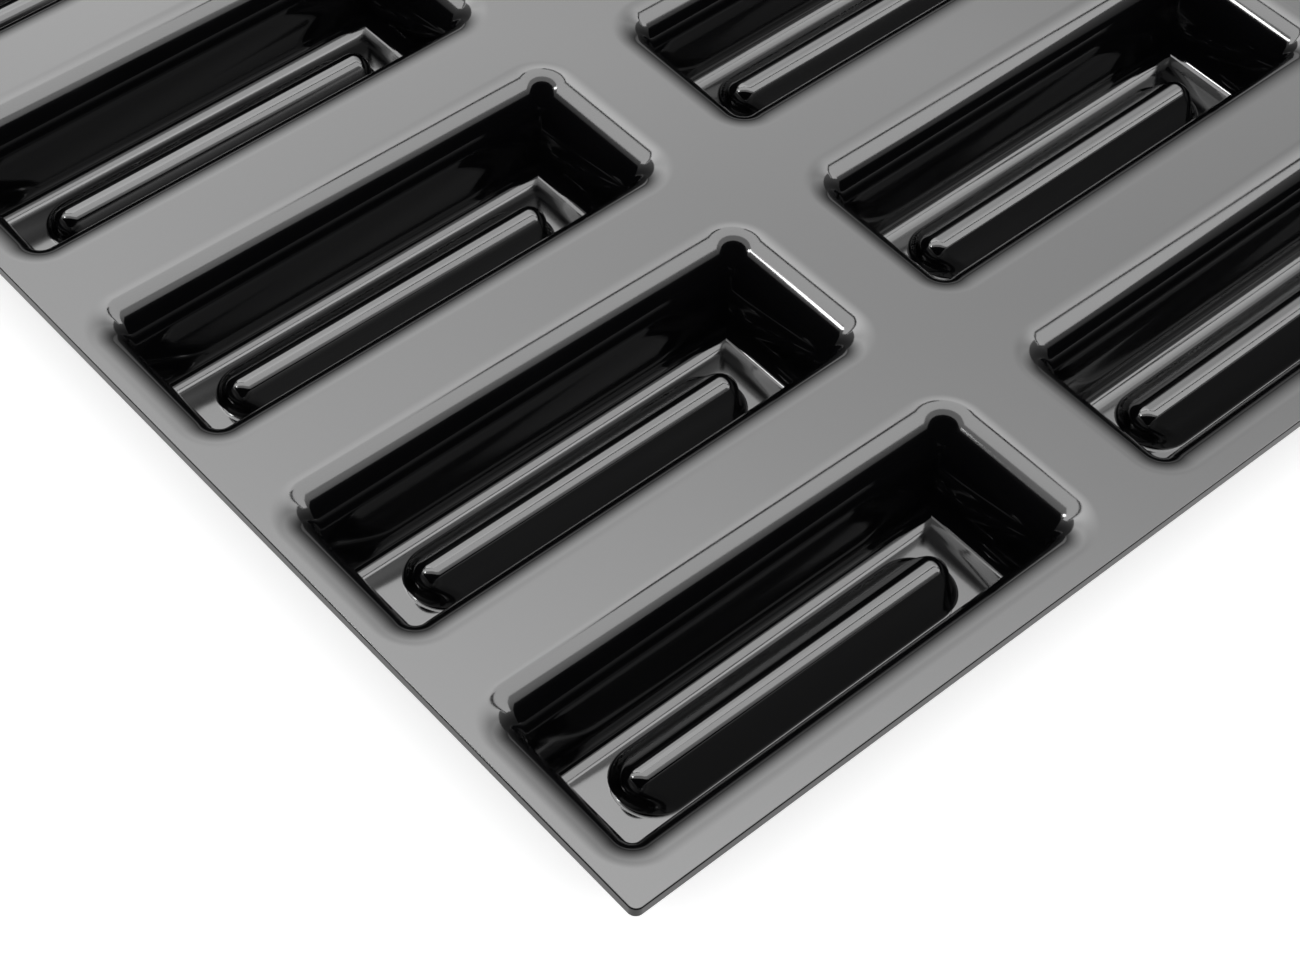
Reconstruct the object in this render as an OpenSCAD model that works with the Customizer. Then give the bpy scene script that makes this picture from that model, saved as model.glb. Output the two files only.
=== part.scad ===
// Silicone mould for bar cakes: a full-size baker's sheet with a grid of deep bar cavities.
//
// The sheet is a thin plate whose openings roll down into the cups. Each cup is a drafted
// trough with a rolled shoulder at its mouth, a ball-nosed fillet round its floor and a
// ridge along the floor, which leaves a groove in the baked bar. The ridge has a round back
// and wide flanks, and its back runs on past the flanks into a blunt nose at each end. The
// skin keeps one thickness all the way, so the underside repeats every form of the top: the
// shoulder, the walls and the ridge, which is hollow from below.
//
// Origin: centre of the footprint, on the plane that the feet of the cups rest on.
// +X runs along the bars, +Y across them, +Z up. Lengths are in millimetres.

/* [Cavity] */
// Length of a bar, taken where its walls would meet the sheet's top plane
bar_len = 120.3; // [60:0.1:160]
// Width of a bar, taken where its walls would meet the sheet's top plane
bar_w = 35.3; // [29:0.1:60]
// Depth of a cavity, from the sheet's top to the floor
depth = 24; // [16:0.5:40]
// Draft of the walls, in degrees, for turning the bars out
draft = 9; // [1:0.5:12]
// Fillet round the floor, which is also the corner radius of a ball-nosed cutter
floor_r = 4.4; // [2.5:0.1:6]
// Radius of the rolled shoulder from the sheet down into the wall
shoulder_r = 10.4; // [5:0.1:14]
// Thickness of the silicone skin, the same in the sheet, the walls and the floors
skin = 2.5; // [1.5:0.1:3.5]

/* [Ridge on the floor] */
// Radius of the ridge's back
ridge_r = 4.2; // [3.6:0.1:5.5]
// Height of the ridge above the floor
ridge_h = 7; // [6:0.1:8]
// Fillet between the ridge's flanks and the floor
ridge_fillet_r = 1.5; // [0.5:0.1:4]
// Flat floor left on each side of the ridge
ridge_side_gap = 0.5; // [0.4:0.1:3]
// Flat floor left beyond each end of the ridge
ridge_end_gap = 5.3; // [1:0.1:20]
// Length of the nose, by which the back runs on past the centres of the flanks' round ends
ridge_nose = 3.8; // [1:0.1:4.5]

/* [Sheet and its grid of cavities] */
// Number of cavities along the sheet's length
cols = 4; // [1:1:4]
// Number of cavities across the sheet's width
rows = 6; // [1:1:6]
// Flat land between the mouths of two cavities, along the bars
land_x = 14.4; // [2:0.1:40]
// Flat land between the mouths of two cavities, across the bars
land_y = 14.4; // [2:0.1:40]
// Flat margin outside the outer mouths, at the sheet's short edges
margin_x = 2.28; // [1:0.01:30]
// Flat margin outside the outer mouths, at the sheet's long edges
margin_y = 4.82; // [1:0.01:30]
// Plan radius of the sheet's four corners
sheet_corner_r = 3.5; // [2:0.1:15]
// Rounding of the sheet's top edge
edge_r = 1; // [0.4:0.1:1.5]

/* [Hidden] */
$fn = 48;

// Colour of black silicone in daylight
silicone = [0.07, 0.07, 0.08];
// Flats that stand for a quarter round in a profile
arc_steps = 8;
// Overrun of a cut past the face that it leaves
overrun = skin;

// Height of the sheet's top above the feet
top_z = depth + skin;
// How far a wall leans in as it goes down one unit
lean = tan(draft);

// A corner's surfaces all turn round one upright axis. Measured from that axis:
// where the floor fillet runs into the wall
fillet_end = floor_r * [cos(draft), sin(draft)];
// height of that line above the floor
fillet_end_h = floor_r - fillet_end[1];
// radius of the wall where it would meet the top plane
corner_r = fillet_end[0] + (depth - fillet_end_h) * lean;
// radius and depth below the top where the wall runs into the shoulder
shoulder_drop = shoulder_r * (1 - sin(draft));
wall_end_r = corner_r - shoulder_drop * lean;
// radius of the mouth, where the shoulder becomes flat and the cup meets the sheet
mouth_r = wall_end_r + shoulder_r * cos(draft);

// Places lie on a fine grid, so that what is built from either side of them meets exactly
grid_share = 0.004;
function on_grid(v) = round(v / (skin * grid_share)) * skin * grid_share;
// Corner axes of a cavity, from its centre
axis_x = on_grid(bar_len / 2 - corner_r);
axis_y = on_grid(bar_w / 2 - corner_r);
// Distance between cavity centres: a mouth and a land
pitch_x = on_grid(2 * (axis_x + mouth_r) + land_x);
pitch_y = on_grid(2 * (axis_y + mouth_r) + land_y);
// Corner axes of the sheet, from its centre. With the margins as they are the sheet comes
// to the 600 by 400 of a bakery tray.
sheet_axis_x = on_grid((cols - 1) / 2 * pitch_x + axis_x + mouth_r + margin_x - sheet_corner_r);
sheet_axis_y = on_grid((rows - 1) / 2 * pitch_y + axis_y + mouth_r + margin_y - sheet_corner_r);

// The ridge's back turns round a centre line this high above the floor
ridge_axis_h = ridge_h - ridge_r;
// Distance from the ridge's centre line to its foot, where its fillet becomes flat
ridge_foot = axis_y - ridge_side_gap;
// Centres of the round ends of the flanks and of the back, from the cavity's centre
flank_axis_x = on_grid(axis_x - ridge_end_gap - ridge_foot);
nose_axis_x = on_grid(flank_axis_x + ridge_nose);
// Centre of the back in the ridge's section, and from there to the centre of the fillet
back_centre = [0, skin + ridge_axis_h];
fillet_offset = [ridge_foot, ridge_fillet_r - ridge_axis_h];
// Direction in which a flank faces: it is the straight line that touches both arcs
flank_turn = acos((ridge_r + ridge_fillet_r) / norm(fillet_offset))
    + atan2(fillet_offset[1], fillet_offset[0]);

function cup_name(r, c) = str("cup_r", r, "_c", c);
// Place of a cup: rows run away from the near long edge, columns to the right
function cup_place(r, c) = [(c - (cols + 1) / 2) * pitch_x, (r - (rows + 1) / 2) * pitch_y, 0];

// Profiles are drawn with x outward and y up

// Points along an arc, from one direction to another
function arc(centre, r, from, to) = [
    for (i = [0:arc_steps])
        let (a = from + (to - from) * i / arc_steps) centre + r * [cos(a), sin(a)]
];

// Section through floor fillet, wall and shoulder, whose left edge is the corner axis.
// The skin's two faces bend round the same centres, and the wall runs between them.
module wall_profile() {
    floor_centre = [0, skin + floor_r];
    shoulder_centre = [mouth_r, top_z - shoulder_r];
    polygon(concat(
        arc(floor_centre, floor_r, -90, -draft),
        arc(shoulder_centre, shoulder_r, 180 - draft, 90),
        arc(shoulder_centre, shoulder_r - skin, 90, 180 - draft),
        arc(floor_centre, floor_r + skin, -draft, -90)));
}

// Half section through the ridge's back and flank, from the foot up to the crown. It is
// drawn for the ridge's upper side with no inset, and for its hollow with the skin as inset.
function flank_half(inset, bottom) = concat(
    [[ridge_foot, bottom]],
    arc(back_centre + fillet_offset, ridge_fillet_r + inset, 270, 180 + flank_turn),
    arc(back_centre, ridge_r - inset, flank_turn, 90));

// Half section through the nose: the back on upright sides
function nose_half(inset, bottom) = concat(
    [[ridge_r - inset, bottom]],
    arc(back_centre, ridge_r - inset, 0, flank_turn),
    arc(back_centre, ridge_r - inset, flank_turn, 90));

// A half section closed along the middle, and a whole one made of two halves
module half_section(points) {
    polygon(concat([[0, points[0][1]]], points));
}

module whole_section(points) {
    other_half = [for (i = [len(points) - 2:-1:0]) [-points[i][0], points[i][1]]];
    polygon(concat(points, other_half));
}

// Section through the sheet's edge, from the corner axis to the outer face
module edge_profile() {
    polygon(concat(
        [[0, skin], [0, 0], [sheet_corner_r, 0]],
        arc([sheet_corner_r - edge_r, skin - edge_r], edge_r, 0, 90)));
}

// Carries its profile along a straight side, which faces +Y before it is turned
module side(length) {
    rotate([90, 0, 90]) linear_extrude(height = length, center = true) children();
}

// Carries its profile once round the rectangle whose corners are the axes
module band(half_x, half_y) {
    for (turn = [0, 180]) rotate([0, 0, turn]) {
        translate([0, half_y, 0]) side(2 * half_x) children();
        translate([half_x, 0, 0]) rotate([0, 0, -90]) side(2 * half_y) children();
        translate([half_x, half_y, 0]) rotate_extrude(angle = 90) children();
        translate([-half_x, half_y, 0]) rotate([0, 0, 90])
            rotate_extrude(angle = 90) children();
    }
}

// Rectangle with round corners, for the mouths
module rounded_rectangle(half_x, half_y, r) {
    square([2 * half_x, 2 * (half_y + r)], center = true);
    square([2 * (half_x + r), 2 * half_y], center = true);
    for (x = [-half_x, half_x]) for (y = [-half_y, half_y]) translate([x, y]) circle(r = r);
}

// Flat sheet with an opening at each cup's mouth
module sheet() {
    color(silicone) translate([0, 0, depth]) difference() {
        union() {
            linear_extrude(height = skin)
                square([2 * sheet_axis_x, 2 * sheet_axis_y], center = true);
            band(sheet_axis_x, sheet_axis_y) edge_profile();
        }
        for (r = [1:rows]) for (c = [1:cols])
            translate(cup_place(r, c) - [0, 0, overrun])
                linear_extrude(height = skin + 2 * overrun)
                    rounded_rectangle(axis_x, axis_y, mouth_r);
    }
}

// Half a round end, which turns round an upright axis and faces +X
module round_end() {
    rotate([0, 0, -90]) rotate_extrude(angle = 180) children();
}

// Ridge along the floor, or the hollow below it
module ridge(inset, bottom) {
    flank = flank_half(inset, bottom);
    nose = nose_half(inset, bottom);
    side(2 * flank_axis_x) whole_section(flank);
    side(2 * nose_axis_x) whole_section(nose);
    for (turn = [0, 180]) rotate([0, 0, turn]) {
        translate([flank_axis_x, 0, 0]) round_end() half_section(flank);
        translate([nose_axis_x, 0, 0]) round_end() half_section(nose);
    }
}

// One cup: shoulder, walls and floor, with the ridge pressed up from below
module cup() {
    color(silicone) difference() {
        union() {
            band(axis_x, axis_y) wall_profile();
            linear_extrude(height = skin) square([2 * axis_x, 2 * axis_y], center = true);
            ridge(inset = 0, bottom = skin / 2);
        }
        ridge(inset = skin, bottom = -overrun);
    }
}

sheet();
for (r = [1:rows]) for (c = [1:cols])
    translate(cup_place(r, c)) cup();
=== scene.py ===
"""Silicone mould for bar cakes, dressed for the render.

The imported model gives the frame: a 600 x 400 mm sheet with a grid of cups below it. Here the
sheet and one cup are modelled again with softer, truer forms, and the cup is copied to every
place. Everything is in metres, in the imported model's frame, with +X along the bars.
"""
import bmesh
import bpy
import math
from mathutils import Matrix, Vector


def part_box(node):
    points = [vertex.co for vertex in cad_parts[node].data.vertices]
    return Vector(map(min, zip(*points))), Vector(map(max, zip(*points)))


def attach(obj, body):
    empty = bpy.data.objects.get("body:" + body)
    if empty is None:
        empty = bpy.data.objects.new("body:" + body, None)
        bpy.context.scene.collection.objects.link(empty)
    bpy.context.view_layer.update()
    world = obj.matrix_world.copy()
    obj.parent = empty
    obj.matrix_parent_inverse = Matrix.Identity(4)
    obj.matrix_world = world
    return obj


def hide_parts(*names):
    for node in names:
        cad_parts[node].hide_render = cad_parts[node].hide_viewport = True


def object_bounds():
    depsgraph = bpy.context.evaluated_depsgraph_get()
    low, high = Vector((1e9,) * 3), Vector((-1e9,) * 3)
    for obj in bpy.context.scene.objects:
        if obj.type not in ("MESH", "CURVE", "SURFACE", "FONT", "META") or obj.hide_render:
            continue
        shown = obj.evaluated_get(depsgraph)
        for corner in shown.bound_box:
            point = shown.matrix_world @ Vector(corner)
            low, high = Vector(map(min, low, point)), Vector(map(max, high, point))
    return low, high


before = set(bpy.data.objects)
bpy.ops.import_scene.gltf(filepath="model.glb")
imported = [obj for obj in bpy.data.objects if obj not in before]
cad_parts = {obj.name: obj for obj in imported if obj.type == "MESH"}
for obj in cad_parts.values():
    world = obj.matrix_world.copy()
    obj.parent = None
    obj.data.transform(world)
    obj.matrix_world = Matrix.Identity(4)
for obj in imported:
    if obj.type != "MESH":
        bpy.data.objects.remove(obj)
cad_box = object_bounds()

MM = 0.001

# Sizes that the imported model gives

TOP = cad_box[1].z                              # height of the sheet's top
SHEET_LOW, SHEET_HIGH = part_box("sheet")
SKIN = SHEET_HIGH.z - SHEET_LOW.z               # thickness of the silicone
DEPTH = TOP - SKIN                              # floor below the sheet's top
MOUTH_LOW, MOUTH_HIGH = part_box("cup_r1_c1")
MOUTH_X = (MOUTH_HIGH.x - MOUTH_LOW.x) / 2      # half a mouth, out to where the sheet is flat
MOUTH_Y = (MOUTH_HIGH.y - MOUTH_LOW.y) / 2
ROWS, COLS = 6, 4

# Sizes of a cavity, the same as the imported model's but for the tighter corners in plan

DRAFT = math.radians(9)
LEAN = math.tan(DRAFT)                          # how far a wall leans in as it goes down by one
SHOULDER_R = 10.4 * MM                          # rolled shoulder from sheet to wall
FLOOR_R = 4.4 * MM                              # fillet round the floor
WALL_CORNER_R = 1.0 * MM                        # plan radius of the corners, at the walls' tops
LEAST_CORNER_R = 0.15 * MM                      # below this plan radius a corner is sharp

RIDGE_SIDE_GAP = 0.5 * MM                       # flat floor beside the ridge
RIDGE_END_GAP = 5.3 * MM                        # flat floor beyond its ends
RIDGE_R = 4.2 * MM                              # round back
RIDGE_H = 7.0 * MM
RIDGE_FILLET_R = 1.5 * MM
RIDGE_TOP_FLAT = 0.35 * MM                      # half width of the flat along the back
RIDGE_NOSE = 3.8 * MM                           # reach of the back past the flanks' round ends
NOSE_START, NOSE_FULL = 0.4 * MM, 5.4 * MM      # heights between which the nose grows out

# Sizes of the sheet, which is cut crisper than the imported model's

SHEET_CORNER_R = 2.0 * MM
SHEET_EDGE_R = 0.35 * MM
RIM = 0.6 * MM                                  # flat rim that a cup has outside its shoulder

# Flats that stand for each round

CORNER_STEPS = 12
SHOULDER_STEPS = 26
FILLET_STEPS = 12
RIDGE_STEPS = 12
FLANK_STEPS = 10
SHEET_CORNER_STEPS = 8
SHEET_EDGE_STEPS = 6

SAME_POINT = 0.01 * MM                          # points closer than this become one


# Small tools for modelling

def clear_selection():
    """Leaves nothing selected, because operators act on all that is."""
    bpy.ops.object.select_all(action="DESELECT")


def name_piece(name):
    piece = bpy.context.object
    piece.name = piece.data.name = name
    return piece


def make_active(piece):
    piece.select_set(True)
    bpy.context.view_layer.objects.active = piece


def copy_to(place, name, piece):
    """A copy of a piece with a mesh of its own, moved to its place."""
    copy = bpy.data.objects.new(name, piece.data.copy())
    bpy.context.scene.collection.objects.link(copy)
    copy.data.transform(Matrix.Translation(place))
    return copy


def pick_edges(test):
    """Selects the edges that pass a test, in edit mode."""
    bpy.ops.mesh.select_mode(type="EDGE")
    bpy.ops.mesh.select_all(action="DESELECT")
    mesh = bmesh.from_edit_mesh(bpy.context.object.data)
    for edge in mesh.edges:
        edge.select_set(bool(test(edge)))
    mesh.select_flush_mode()
    bmesh.update_edit_mesh(bpy.context.object.data)


def point_outwards():
    bpy.ops.mesh.select_all(action="SELECT")
    bpy.ops.mesh.normals_make_consistent(inside=False)


def use_modifier(piece, kind, **settings):
    """Adds a modifier to the active piece and applies it."""
    bpy.ops.object.modifier_add(type=kind)
    modifier = piece.modifiers[-1]
    for key, value in settings.items():
        setattr(modifier, key, value)
    bpy.ops.object.modifier_apply(modifier=modifier.name)


def rounded_plate(name, half_x, half_y, corner_r, z):
    """A flat face with round corners, left in edit mode with the face selected."""
    clear_selection()
    bpy.ops.mesh.primitive_plane_add(size=2)
    plate = name_piece(name)
    plate.data.transform(Matrix.Translation((0, 0, z)) @ Matrix.Diagonal((half_x, half_y, 1, 1)))
    bpy.ops.object.mode_set(mode="EDIT")
    bpy.ops.mesh.select_all(action="SELECT")
    bpy.ops.mesh.bevel(affect="VERTICES", offset=corner_r, segments=CORNER_STEPS, profile=0.5)
    bpy.ops.mesh.select_all(action="SELECT")
    bpy.ops.mesh.remove_doubles(threshold=SAME_POINT)
    bpy.ops.mesh.select_mode(type="FACE")
    bpy.ops.mesh.select_all(action="SELECT")
    return plate


def step_in(inward, rise):
    """Insets the selected face by one step of a section, inward and up or down."""
    bpy.ops.mesh.inset(thickness=inward, depth=rise, use_even_offset=True, use_boundary=True)


def follow(section):
    """Carries the selected face along a section given as points (distance in, height)."""
    for (d0, z0), (d1, z1) in zip(section, section[1:]):
        step_in(d1 - d0, z1 - z0)


def square_corners():
    """Draws the selected face's round corners together, each into one sharp corner."""
    mesh = bmesh.from_edit_mesh(bpy.context.object.data)
    verts = [v for v in mesh.verts if v.select]
    x = max(abs(v.co.x) for v in verts)
    y = max(abs(v.co.y) for v in verts)
    for v in verts:
        v.co.x, v.co.y = math.copysign(x, v.co.x), math.copysign(y, v.co.y)
    bmesh.update_edit_mesh(bpy.context.object.data)
    bpy.ops.mesh.remove_doubles(threshold=SAME_POINT / 10)


def shade_smooth(piece):
    """Smooth shading, with the big flats keeping their true normals."""
    bpy.ops.object.shade_smooth_by_angle(angle=math.radians(35))
    use_modifier(piece, "WEIGHTED_NORMAL", mode="FACE_AREA", weight=50, keep_sharp=True)


# The cup. Each section below is a list of points (distance in from the mouth, height from the
# sheet's top), and the ridge's is (distance in from its foot, height above the floor).

def shoulder_section():
    """From the flat sheet over the shoulder, finest where it leaves the sheet."""
    end = math.pi / 2 - DRAFT
    angles = [end * (i / SHOULDER_STEPS) ** 1.5 for i in range(SHOULDER_STEPS + 1)]
    return [(SHOULDER_R * math.sin(a), -SHOULDER_R * (1 - math.cos(a))) for a in angles]


def wall_section(start):
    """Down the drafted wall, from the shoulder's end to the floor fillet's start."""
    d, z = start
    fillet_top = -DEPTH + FLOOR_R * (1 - math.sin(DRAFT))
    return [start, (d + (z - fillet_top) * LEAN, fillet_top)]


def floor_section(start):
    """Round the floor fillet, from the wall to the flat floor."""
    centre = start[0] + FLOOR_R * math.cos(DRAFT)
    turns = [DRAFT + (math.pi / 2 - DRAFT) * i / FILLET_STEPS for i in range(FILLET_STEPS + 1)]
    return [(centre - FLOOR_R * math.cos(t), -DEPTH + FLOOR_R * (1 - math.sin(t)))
            for t in turns]


def ridge_section(foot):
    """From the floor up the ridge's fillet and flank and over its back. The flank is the
    straight line that touches both arcs."""
    axis_h = RIDGE_H - RIDGE_R
    rise = RIDGE_FILLET_R - axis_h
    turn = (math.acos((RIDGE_R + RIDGE_FILLET_R) / math.hypot(foot, rise))
            + math.atan2(rise, foot))
    points = []
    for i in range(RIDGE_STEPS + 1):
        a = (math.pi / 2 - turn) * i / RIDGE_STEPS
        points.append((RIDGE_FILLET_R * math.sin(a), RIDGE_FILLET_R * (1 - math.cos(a))))
    last = math.acos(RIDGE_TOP_FLAT / RIDGE_R)
    back = []
    for i in range(RIDGE_STEPS + 1):
        a = turn + (last - turn) * i / RIDGE_STEPS
        back.append((foot - RIDGE_R * math.cos(a), axis_h + RIDGE_R * math.sin(a)))
    low, high = Vector(points[-1]), Vector(back[0])
    points += [tuple(low.lerp(high, i / FLANK_STEPS)) for i in range(1, FLANK_STEPS)]
    return points + back


def make_ridge(floor_x, floor_y):
    """The ridge's upper side, open below, for a floor of the given half sizes."""
    foot = floor_y - RIDGE_SIDE_GAP
    ridge = rounded_plate("ridge", floor_x - RIDGE_END_GAP, foot, foot, TOP - DEPTH)
    follow(ridge_section(foot))
    bpy.ops.object.mode_set(mode="OBJECT")
    # each ring is drawn out lengthwise, the more the higher it lies, into a blunt nose
    for v in ridge.data.vertices:
        t = (v.co.z - (TOP - DEPTH) - NOSE_START) / (NOSE_FULL - NOSE_START)
        t = min(max(t, 0), 1)
        v.co.x += math.copysign(RIDGE_NOSE * t * t * (3 - 2 * t), v.co.x)
    return ridge


def roll_down(section, corner_r):
    """Carries the mouth down its section. The corners' plan radius runs out on the way, and
    from there on they are mitres."""
    run_out = corner_r - LEAST_CORNER_R
    count = sum(point[0] < run_out for point in section)
    before, after = Vector(section[count - 1]), Vector(section[count])
    turning = tuple(before.lerp(after, (run_out - before.x) / (after.x - before.x)))
    follow(section[:count] + [turning])
    square_corners()
    follow([turning] + section[count:])


def make_cup(corner_r):
    shoulder = shoulder_section()
    wall = wall_section(shoulder[-1])
    fillet = floor_section(wall[-1])
    ridge = make_ridge(MOUTH_X - fillet[-1][0], MOUTH_Y - fillet[-1][0])
    cup = rounded_plate("cup", MOUTH_X + RIM, MOUTH_Y + RIM, corner_r + RIM, TOP)
    step_in(RIM, 0)
    roll_down(shoulder + wall[1:] + fillet[1:], corner_r)
    # the floor is filled between its edge and the ridge's foot
    bpy.ops.mesh.delete(type="ONLY_FACE")
    bpy.ops.object.mode_set(mode="OBJECT")
    clear_selection()
    ridge.select_set(True)
    make_active(cup)
    bpy.ops.object.join()
    bpy.ops.object.mode_set(mode="EDIT")
    pick_edges(lambda e: e.is_boundary and all(v.co.z < TOP - DEPTH / 2 for v in e.verts))
    bpy.ops.mesh.fill(use_beauty=True)
    point_outwards()
    bpy.ops.object.mode_set(mode="OBJECT")
    if cup.data.polygons[0].normal.z < 0:
        cup.data.flip_normals()
    use_modifier(cup, "SOLIDIFY", thickness=SKIN, offset=-1, use_even_offset=True)
    shade_smooth(cup)
    return cup


# The sheet

def cup_places():
    """Each cup's name and the centre of its box."""
    for row in range(1, ROWS + 1):
        for col in range(1, COLS + 1):
            name = f"cup_r{row}_c{col}"
            low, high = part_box(name)
            yield name, Vector(((low.x + high.x) / 2, (low.y + high.y) / 2, 0))


def make_openings(corner_r):
    """A post through each cup's mouth, all joined, to cut the sheet with."""
    post = rounded_plate("openings", MOUTH_X + RIM, MOUTH_Y + RIM, corner_r + RIM,
                         SHEET_LOW.z - SKIN)
    bpy.ops.mesh.extrude_region_move(TRANSFORM_OT_translate={"value": (0, 0, 3 * SKIN)})
    point_outwards()
    bpy.ops.object.mode_set(mode="OBJECT")
    clear_selection()
    for name, place in cup_places():
        make_active(copy_to(place, "opening", post))
    bpy.data.objects.remove(post)
    bpy.ops.object.join()
    return bpy.context.object


def make_sheet(corner_r):
    clear_selection()
    bpy.ops.mesh.primitive_cube_add(size=1)
    sheet = name_piece("sheet_skin")
    size = SHEET_HIGH - SHEET_LOW
    middle = (SHEET_HIGH + SHEET_LOW) / 2
    sheet.data.transform(Matrix.Translation(middle) @ Matrix.Diagonal((*size, 1)))
    bpy.ops.object.mode_set(mode="EDIT")
    # the four upright edges, and then the outline of the top
    pick_edges(lambda e: abs(e.verts[0].co.z - e.verts[1].co.z) > SKIN / 2)
    bpy.ops.mesh.bevel(offset=SHEET_CORNER_R, segments=SHEET_CORNER_STEPS, profile=0.5)
    pick_edges(lambda e: all(v.co.z > middle.z for v in e.verts) and len(e.link_faces) == 2
               and abs(e.link_faces[0].normal.z - e.link_faces[1].normal.z) > 0.5)
    bpy.ops.mesh.bevel(offset=SHEET_EDGE_R, segments=SHEET_EDGE_STEPS, profile=0.5)
    bpy.ops.object.mode_set(mode="OBJECT")

    openings = make_openings(corner_r)
    clear_selection()
    make_active(sheet)
    use_modifier(sheet, "BOOLEAN", operation="DIFFERENCE", solver="EXACT", object=openings)
    bpy.data.objects.remove(openings)
    shade_smooth(sheet)
    return sheet


# Materials

# Directions on the floor plane: away from the camera, and to its right
AWAY = Vector((0.706, 0.708, 0))
ASIDE = Vector((0.708, -0.706, 0))
UP = Vector((0, 0, 1))

WHITE = (1, 1, 1, 1)


def linear(hex_colour):
    """A colour written as sRGB hex, turned to the linear values that a shader takes."""
    parts = [int(hex_colour[i:i + 2], 16) / 255 for i in (1, 3, 5)]
    return (*(c / 12.92 if c <= 0.04045 else ((c + 0.055) / 1.055) ** 2.4 for c in parts), 1)


def add(tree, kind, settings=None, links=None):
    """Adds a node, gives its settings, and links its inputs to other nodes' outputs. A number
    stands for an input's place, where inputs share a name."""
    node = tree.nodes.new(kind)
    for key, value in (settings or {}).items():
        if isinstance(key, int) or key in node.inputs:
            node.inputs[key].default_value = value
        else:
            setattr(node, key, value)
    for key, source in (links or {}).items():
        tree.links.new(source, node.inputs[key])
    return node


def new_material(name):
    material = bpy.data.materials.new(name)
    material.use_nodes = True
    material.node_tree.nodes.clear()
    return material, material.node_tree


def glossy_black_silicone():
    """Silicone rubber pressed in a polished steel die: deep black with a wet-looking gloss,
    and the faint unevenness of a soft sheet that never lies quite flat."""
    material, tree = new_material("glossy_black_silicone")
    place = add(tree, "ShaderNodeTexCoord").outputs["Object"]
    # the sheet's slow swell, about 90 mm from crest to crest
    swell = add(tree, "ShaderNodeTexNoise", {"Scale": 1 / 0.09, "Detail": 1.0},
                {"Vector": place})
    # ripple left by the die's polish, about 5 mm
    ripple = add(tree, "ShaderNodeTexNoise", {"Scale": 1 / 0.005, "Detail": 2.0},
                 {"Vector": place})
    # cloudiness of the gloss, about 20 mm
    cloud = add(tree, "ShaderNodeTexNoise", {"Scale": 1 / 0.02, "Detail": 3.0},
                {"Vector": place})
    slow = add(tree, "ShaderNodeBump", {"Strength": 0.5, "Distance": 0.8 * MM},
               {"Height": swell.outputs["Fac"]})
    fine = add(tree, "ShaderNodeBump", {"Strength": 0.25, "Distance": 0.01 * MM},
               {"Height": ripple.outputs["Fac"], "Normal": slow.outputs["Normal"]})
    gloss = add(tree, "ShaderNodeMapRange", {"To Min": 0.06, "To Max": 0.11},
                {"Value": cloud.outputs["Fac"]})
    tone = add(tree, "ShaderNodeValToRGB", None, {"Fac": cloud.outputs["Fac"]})
    tone.color_ramp.elements[0].color = linear("#040405")
    tone.color_ramp.elements[1].color = linear("#09090A")
    skin = add(tree, "ShaderNodeBsdfPrincipled", {"IOR": 1.41, "Specular IOR Level": 0.36},
               {"Base Color": tone.outputs["Color"], "Roughness": gloss.outputs["Result"],
                "Normal": fine.outputs["Normal"]})
    add(tree, "ShaderNodeOutputMaterial", None, {"Surface": skin.outputs["BSDF"]})
    return material


def white_paper():
    """Matt white paper, lifted to full white where it is seen, so that a faint shadow stays."""
    material, tree = new_material("white_paper_floor")
    paper = add(tree, "ShaderNodeBsdfDiffuse", {"Color": linear("#F2F2F2")})
    # 1 for camera, glossy and transmission rays, 0 for the rays that carry light about
    path = add(tree, "ShaderNodeLightPath").outputs
    some = add(tree, "ShaderNodeMath", {"operation": "MAXIMUM"},
               {0: path["Is Camera Ray"], 1: path["Is Glossy Ray"]})
    seen = add(tree, "ShaderNodeMath", {"operation": "MAXIMUM"},
               {0: some.outputs[0], 1: path["Is Transmission Ray"]})
    lift = add(tree, "ShaderNodeMath", {"operation": "MULTIPLY", 1: 0.58}, {0: seen.outputs[0]})
    glow = add(tree, "ShaderNodeEmission", {"Color": WHITE}, {"Strength": lift.outputs[0]})
    both = add(tree, "ShaderNodeAddShader", None, {0: paper.outputs[0], 1: glow.outputs[0]})
    add(tree, "ShaderNodeOutputMaterial", None, {"Surface": both.outputs[0]})
    return material


def dim_below(tree, z, height):
    """1 from a height upward, and less and less below it. Silicone mirrors more the flatter
    the light comes in, so cloth that is dimmer low down keeps the mirror image even."""
    share = add(tree, "ShaderNodeMapRange", {"From Max": height}, {"Value": z})
    cube = add(tree, "ShaderNodeMath", {"operation": "POWER", 1: 3},
               {0: share.outputs["Result"]})
    dimmed = add(tree, "ShaderNodeMapRange", {"To Min": 0.06}, {"Value": cube.outputs[0]})
    return dimmed.outputs["Result"]


def glowing(name, strength, full_height=0.5):
    """Cloth or glass with one brightness from a height upward."""
    material, tree = new_material(name)
    place = add(tree, "ShaderNodeTexCoord").outputs["Object"]
    z = add(tree, "ShaderNodeSeparateXYZ", None, {"Vector": place}).outputs["Z"]
    level = add(tree, "ShaderNodeMath", {"operation": "MULTIPLY", 1: strength},
                {0: dim_below(tree, z, full_height)})
    lamp = add(tree, "ShaderNodeEmission", {"Color": WHITE}, {"Strength": level.outputs[0]})
    add(tree, "ShaderNodeOutputMaterial", None, {"Surface": lamp.outputs[0]})
    return material


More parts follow.
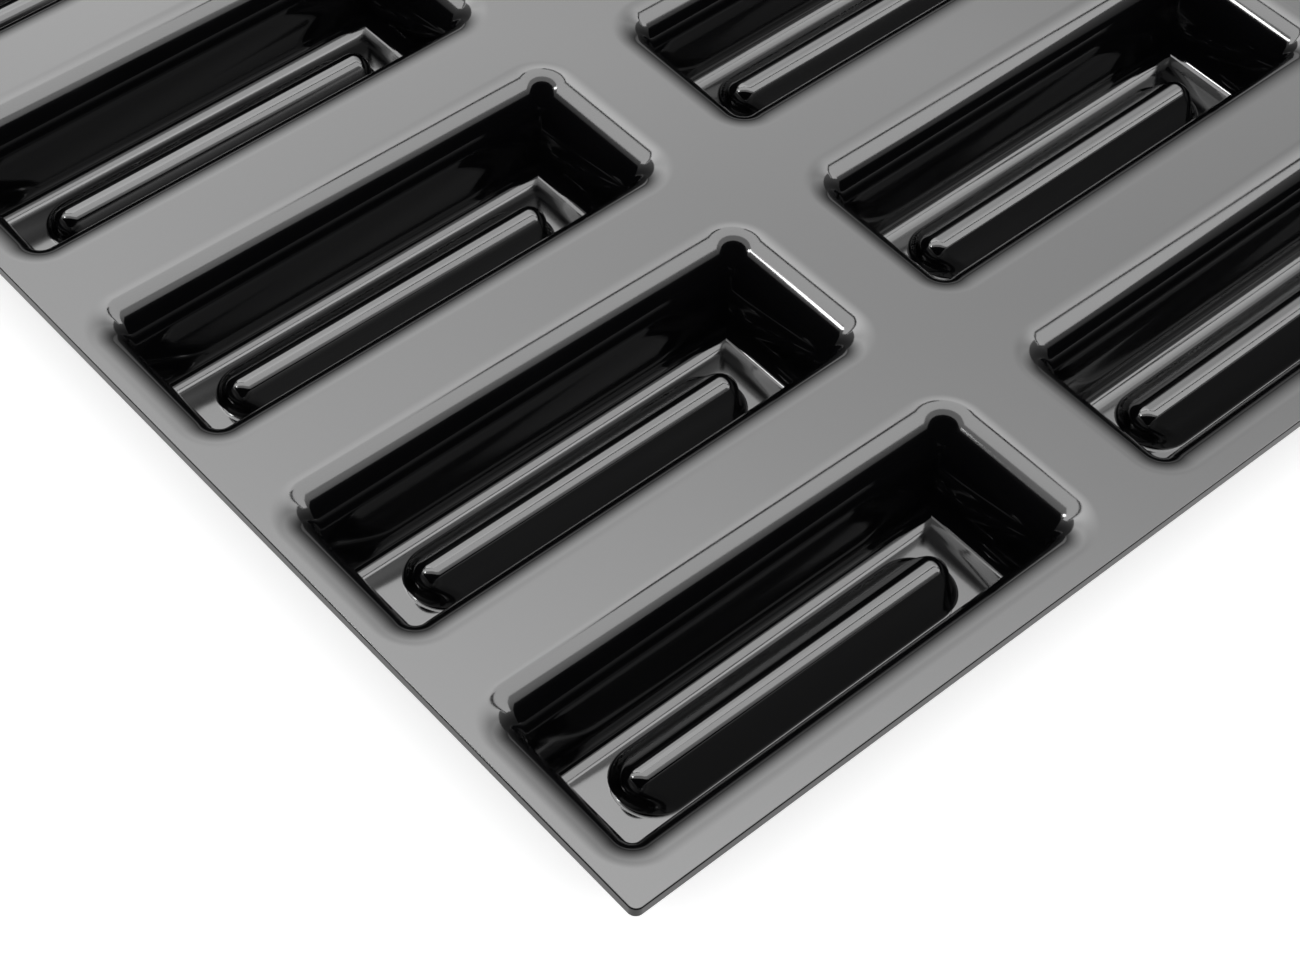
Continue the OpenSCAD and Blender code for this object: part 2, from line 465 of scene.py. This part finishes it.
def lamp_cloth():
    """White cloth lit from behind: brightest at its upper edge, and more so on the left."""
    material, tree = new_material("lamp_cloth")
    place = add(tree, "ShaderNodeTexCoord").outputs["Object"]
    z = add(tree, "ShaderNodeSeparateXYZ", None, {"Vector": place}).outputs["Z"]
    upward = add(tree, "ShaderNodeMapRange",
                 {"interpolation_type": "SMOOTHSTEP", "From Min": 1.06, "From Max": 1.48,
                  "To Min": 8.8, "To Max": 17.0}, {"Value": z})
    aside = add(tree, "ShaderNodeVectorMath", {"operation": "DOT_PRODUCT", 1: tuple(ASIDE)},
                {0: place})
    leftward = add(tree, "ShaderNodeMapRange",
                   {"From Min": -0.5, "From Max": 0.5, "To Min": 2.6, "To Max": -2.3},
                   {"Value": aside.outputs["Value"]})
    full = add(tree, "ShaderNodeMath", {"operation": "ADD"},
               {0: upward.outputs["Result"], 1: leftward.outputs["Result"]})
    level = add(tree, "ShaderNodeMath", {"operation": "MULTIPLY"},
                {0: full.outputs[0], 1: dim_below(tree, z, 1.0)})
    lamp = add(tree, "ShaderNodeEmission", {"Color": WHITE}, {"Strength": level.outputs[0]})
    add(tree, "ShaderNodeOutputMaterial", None, {"Surface": lamp.outputs[0]})
    return material


def black_cloth():
    """Matt black cotton, which soaks up what falls on it."""
    material, tree = new_material("black_cloth")
    cloth = add(tree, "ShaderNodeBsdfDiffuse", {"Color": linear("#050505")})
    add(tree, "ShaderNodeOutputMaterial", None, {"Surface": cloth.outputs[0]})
    return material


# The object: one cup, copied to every place, and the sheet

def stand_in_for(node, piece):
    """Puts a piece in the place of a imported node."""
    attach(piece, "root")
    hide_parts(node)


silicone = glossy_black_silicone()
mouth_corner_r = WALL_CORNER_R + shoulder_section()[-1][0]

cup = make_cup(mouth_corner_r)
cup.data.materials.append(silicone)
sheet = make_sheet(mouth_corner_r)
sheet.data.materials.append(silicone)
stand_in_for("sheet", sheet)
for name, place in cup_places():
    stand_in_for(name, copy_to(place, name + "_skin", cup))
bpy.data.objects.remove(cup)


# The studio. The silicone is black, so all that it shows is what it mirrors: a big lamp that
# leans over it from behind, a lamp and a grey tent above, and black cloth on the camera's side.
# They are there for mirror rays only, and the light on everything else is the plain white world.

CLOTH_END = (0.6724, 0.6743, 0.3048)            # faces away from the camera's side
DOME_FOOT = 0.1
FLOOR_SIZE = 8


def at(away, aside, up):
    return AWAY * away + ASIDE * aside + UP * up


def mirror_only(piece):
    """A piece of the studio that nothing but a mirror ray sees."""
    piece.visible_camera = False
    piece.visible_diffuse = False
    piece.visible_shadow = False


def panel(name, low_edge, high_edge, sides, material):
    """A flat panel between two edges that run aside, each given as (away, up)."""
    (a0, u0), (a1, u1), (left, right) = low_edge, high_edge, sides
    mesh = bpy.data.meshes.new(name)
    mesh.from_pydata([at(a0, left, u0), at(a0, right, u0), at(a1, right, u1), at(a1, left, u1)],
                     [], [(0, 1, 2, 3)])
    mesh.materials.append(material)
    board = bpy.data.objects.new(name, mesh)
    bpy.context.scene.collection.objects.link(board)
    mirror_only(board)


def dome(name, radius, keep_camera_side, material):
    """The part of a dome on one side of the line overhead where the camera's side ends."""
    clear_selection()
    bpy.ops.mesh.primitive_uv_sphere_add(segments=48, ring_count=24, radius=radius)
    half = name_piece(name)
    bpy.ops.object.mode_set(mode="EDIT")
    bpy.ops.mesh.select_all(action="SELECT")
    bpy.ops.mesh.bisect(plane_co=(0, 0, 0), plane_no=CLOTH_END, clear_outer=keep_camera_side,
                        clear_inner=not keep_camera_side)
    bpy.ops.mesh.select_all(action="SELECT")
    bpy.ops.mesh.bisect(plane_co=(0, 0, DOME_FOOT), plane_no=(0, 0, 1), clear_inner=True)
    bpy.ops.object.mode_set(mode="OBJECT")
    half.data.materials.append(material)
    mirror_only(half)


cloth = black_cloth()
panel("big_lamp", (1.9, 0.25), (0.42, 1.43), (-1.2, 1.2), lamp_cloth())
panel("top_lamp", (0.56, 1.6), (-0.2, 1.6), (-2.2, 2.2), glowing("top_lamp_cloth", 13.0))
# the lamps' frames, which draw a fine line round the far rims
panel("frame_right", (0.50, 1.59), (0.40, 1.59), (0.2, 2.2), cloth)
panel("frame_left", (0.50, 1.59), (0.40, 1.59), (-2.2, -0.15), cloth)
# a bare bulb on the left, for the glints
panel("bulb", (-0.20, 1.2), (-0.38, 1.2), (-1.20, -1.02), glowing("bulb_glass", 90.0))
dome("black_surround", 3.0, True, cloth)
dome("grey_tent", 3.1, False, glowing("grey_tent_cloth", 4.6, 2.6))

clear_selection()
bpy.ops.mesh.primitive_plane_add(size=FLOOR_SIZE)
floor = name_piece("floor")
floor.data.materials.append(white_paper())

world = bpy.context.scene.world or bpy.data.worlds.new("studio")
bpy.context.scene.world = world
world.use_nodes = True
tree = world.node_tree
tree.nodes.clear()
sky = add(tree, "ShaderNodeBackground", {"Color": WHITE, "Strength": 1.0})
add(tree, "ShaderNodeOutputWorld", None, {"Surface": sky.outputs[0]})

# The camera, solved from the photograph's straight edges

CAMERA_AT = Vector((-0.50227, -0.40274, 0.50918))
CAMERA_RIGHT = Vector((0.750498, -0.659447, 0.043391))
CAMERA_BACK = Vector((-0.439397, -0.448866, 0.778107))
LENS, SENSOR_WIDTH = 81.513, 36                 # both in mm

camera = bpy.data.objects.new("camera", bpy.data.cameras.new("camera"))
bpy.context.scene.collection.objects.link(camera)
camera.data.sensor_width = SENSOR_WIDTH
camera.data.lens = LENS
camera.data.clip_start = 0.01
turned = Matrix((CAMERA_RIGHT, CAMERA_BACK.cross(CAMERA_RIGHT), CAMERA_BACK)).transposed()
camera.matrix_world = Matrix.Translation(CAMERA_AT) @ turned.to_4x4()
bpy.context.scene.camera = camera

bpy.context.scene.view_settings.view_transform = "Standard"
